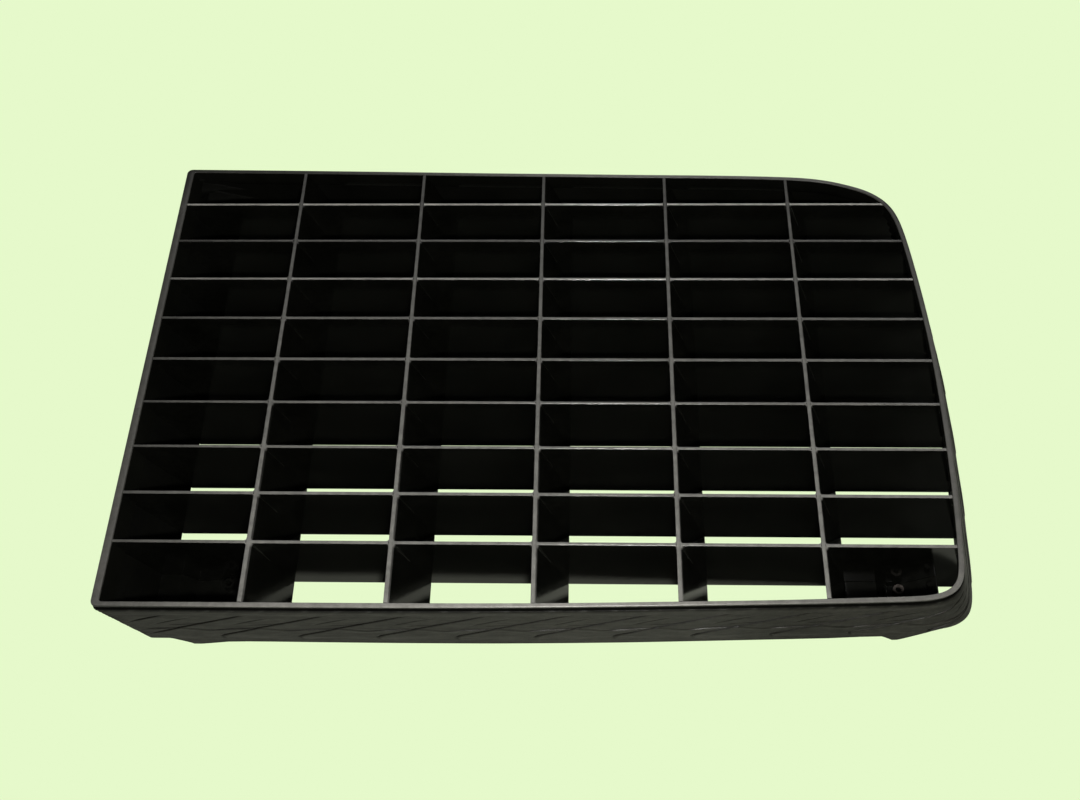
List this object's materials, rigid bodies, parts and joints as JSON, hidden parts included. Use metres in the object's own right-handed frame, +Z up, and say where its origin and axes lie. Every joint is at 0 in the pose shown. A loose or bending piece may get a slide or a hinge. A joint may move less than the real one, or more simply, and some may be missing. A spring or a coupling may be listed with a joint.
{
  "type": "plug tray",
  "caption": "Open-bottomed black plug tray: a shallow casing and rim around a lattice of leaning ribs and upright vanes that form deep rectangular cells.",
  "frame": {"origin": "centre of the footprint, on the plane of the foot tips", "axes": "+X along the long side towards the swept corner, +Y towards the rear, +Z up through the rim"},
  "size_m": [0.6169, 0.4128, 0.0585],
  "materials": {
    "casing_plastic": "black satin moulding, lightly scuffed",
    "rim_plastic": "black satin moulding, worn along the top edge",
    "lattice_plastic": "black glossy moulding, worn along the top edges",
    "plate_plastic": "black glossy moulding",
    "screw_steel": "zinc-plated"
  },
  "bodies": {
    "root": {"outer_casing": "casing_plastic", "rim_frame": "rim_plastic", "long_rib_1": "lattice_plastic", "long_rib_2": "lattice_plastic", "long_rib_3": "lattice_plastic", "long_rib_4": "lattice_plastic", "long_rib_5": "lattice_plastic", "cross_vane_1": "lattice_plastic", "cross_vane_2": "lattice_plastic", "cross_vane_3": "lattice_plastic", "cross_vane_4": "lattice_plastic", "cross_vane_5": "lattice_plastic", "cross_vane_6": "lattice_plastic", "cross_vane_7": "lattice_plastic", "cross_vane_8": "lattice_plastic", "cross_vane_9": "lattice_plastic", "corner_plate_front_left": "plate_plastic", "corner_plate_front_right": "plate_plastic", "corner_plate_rear_left": "plate_plastic", "corner_plate_rear_right": "plate_plastic", "corner_plate_screws": "screw_steel"}
  },
  "joints": []
}
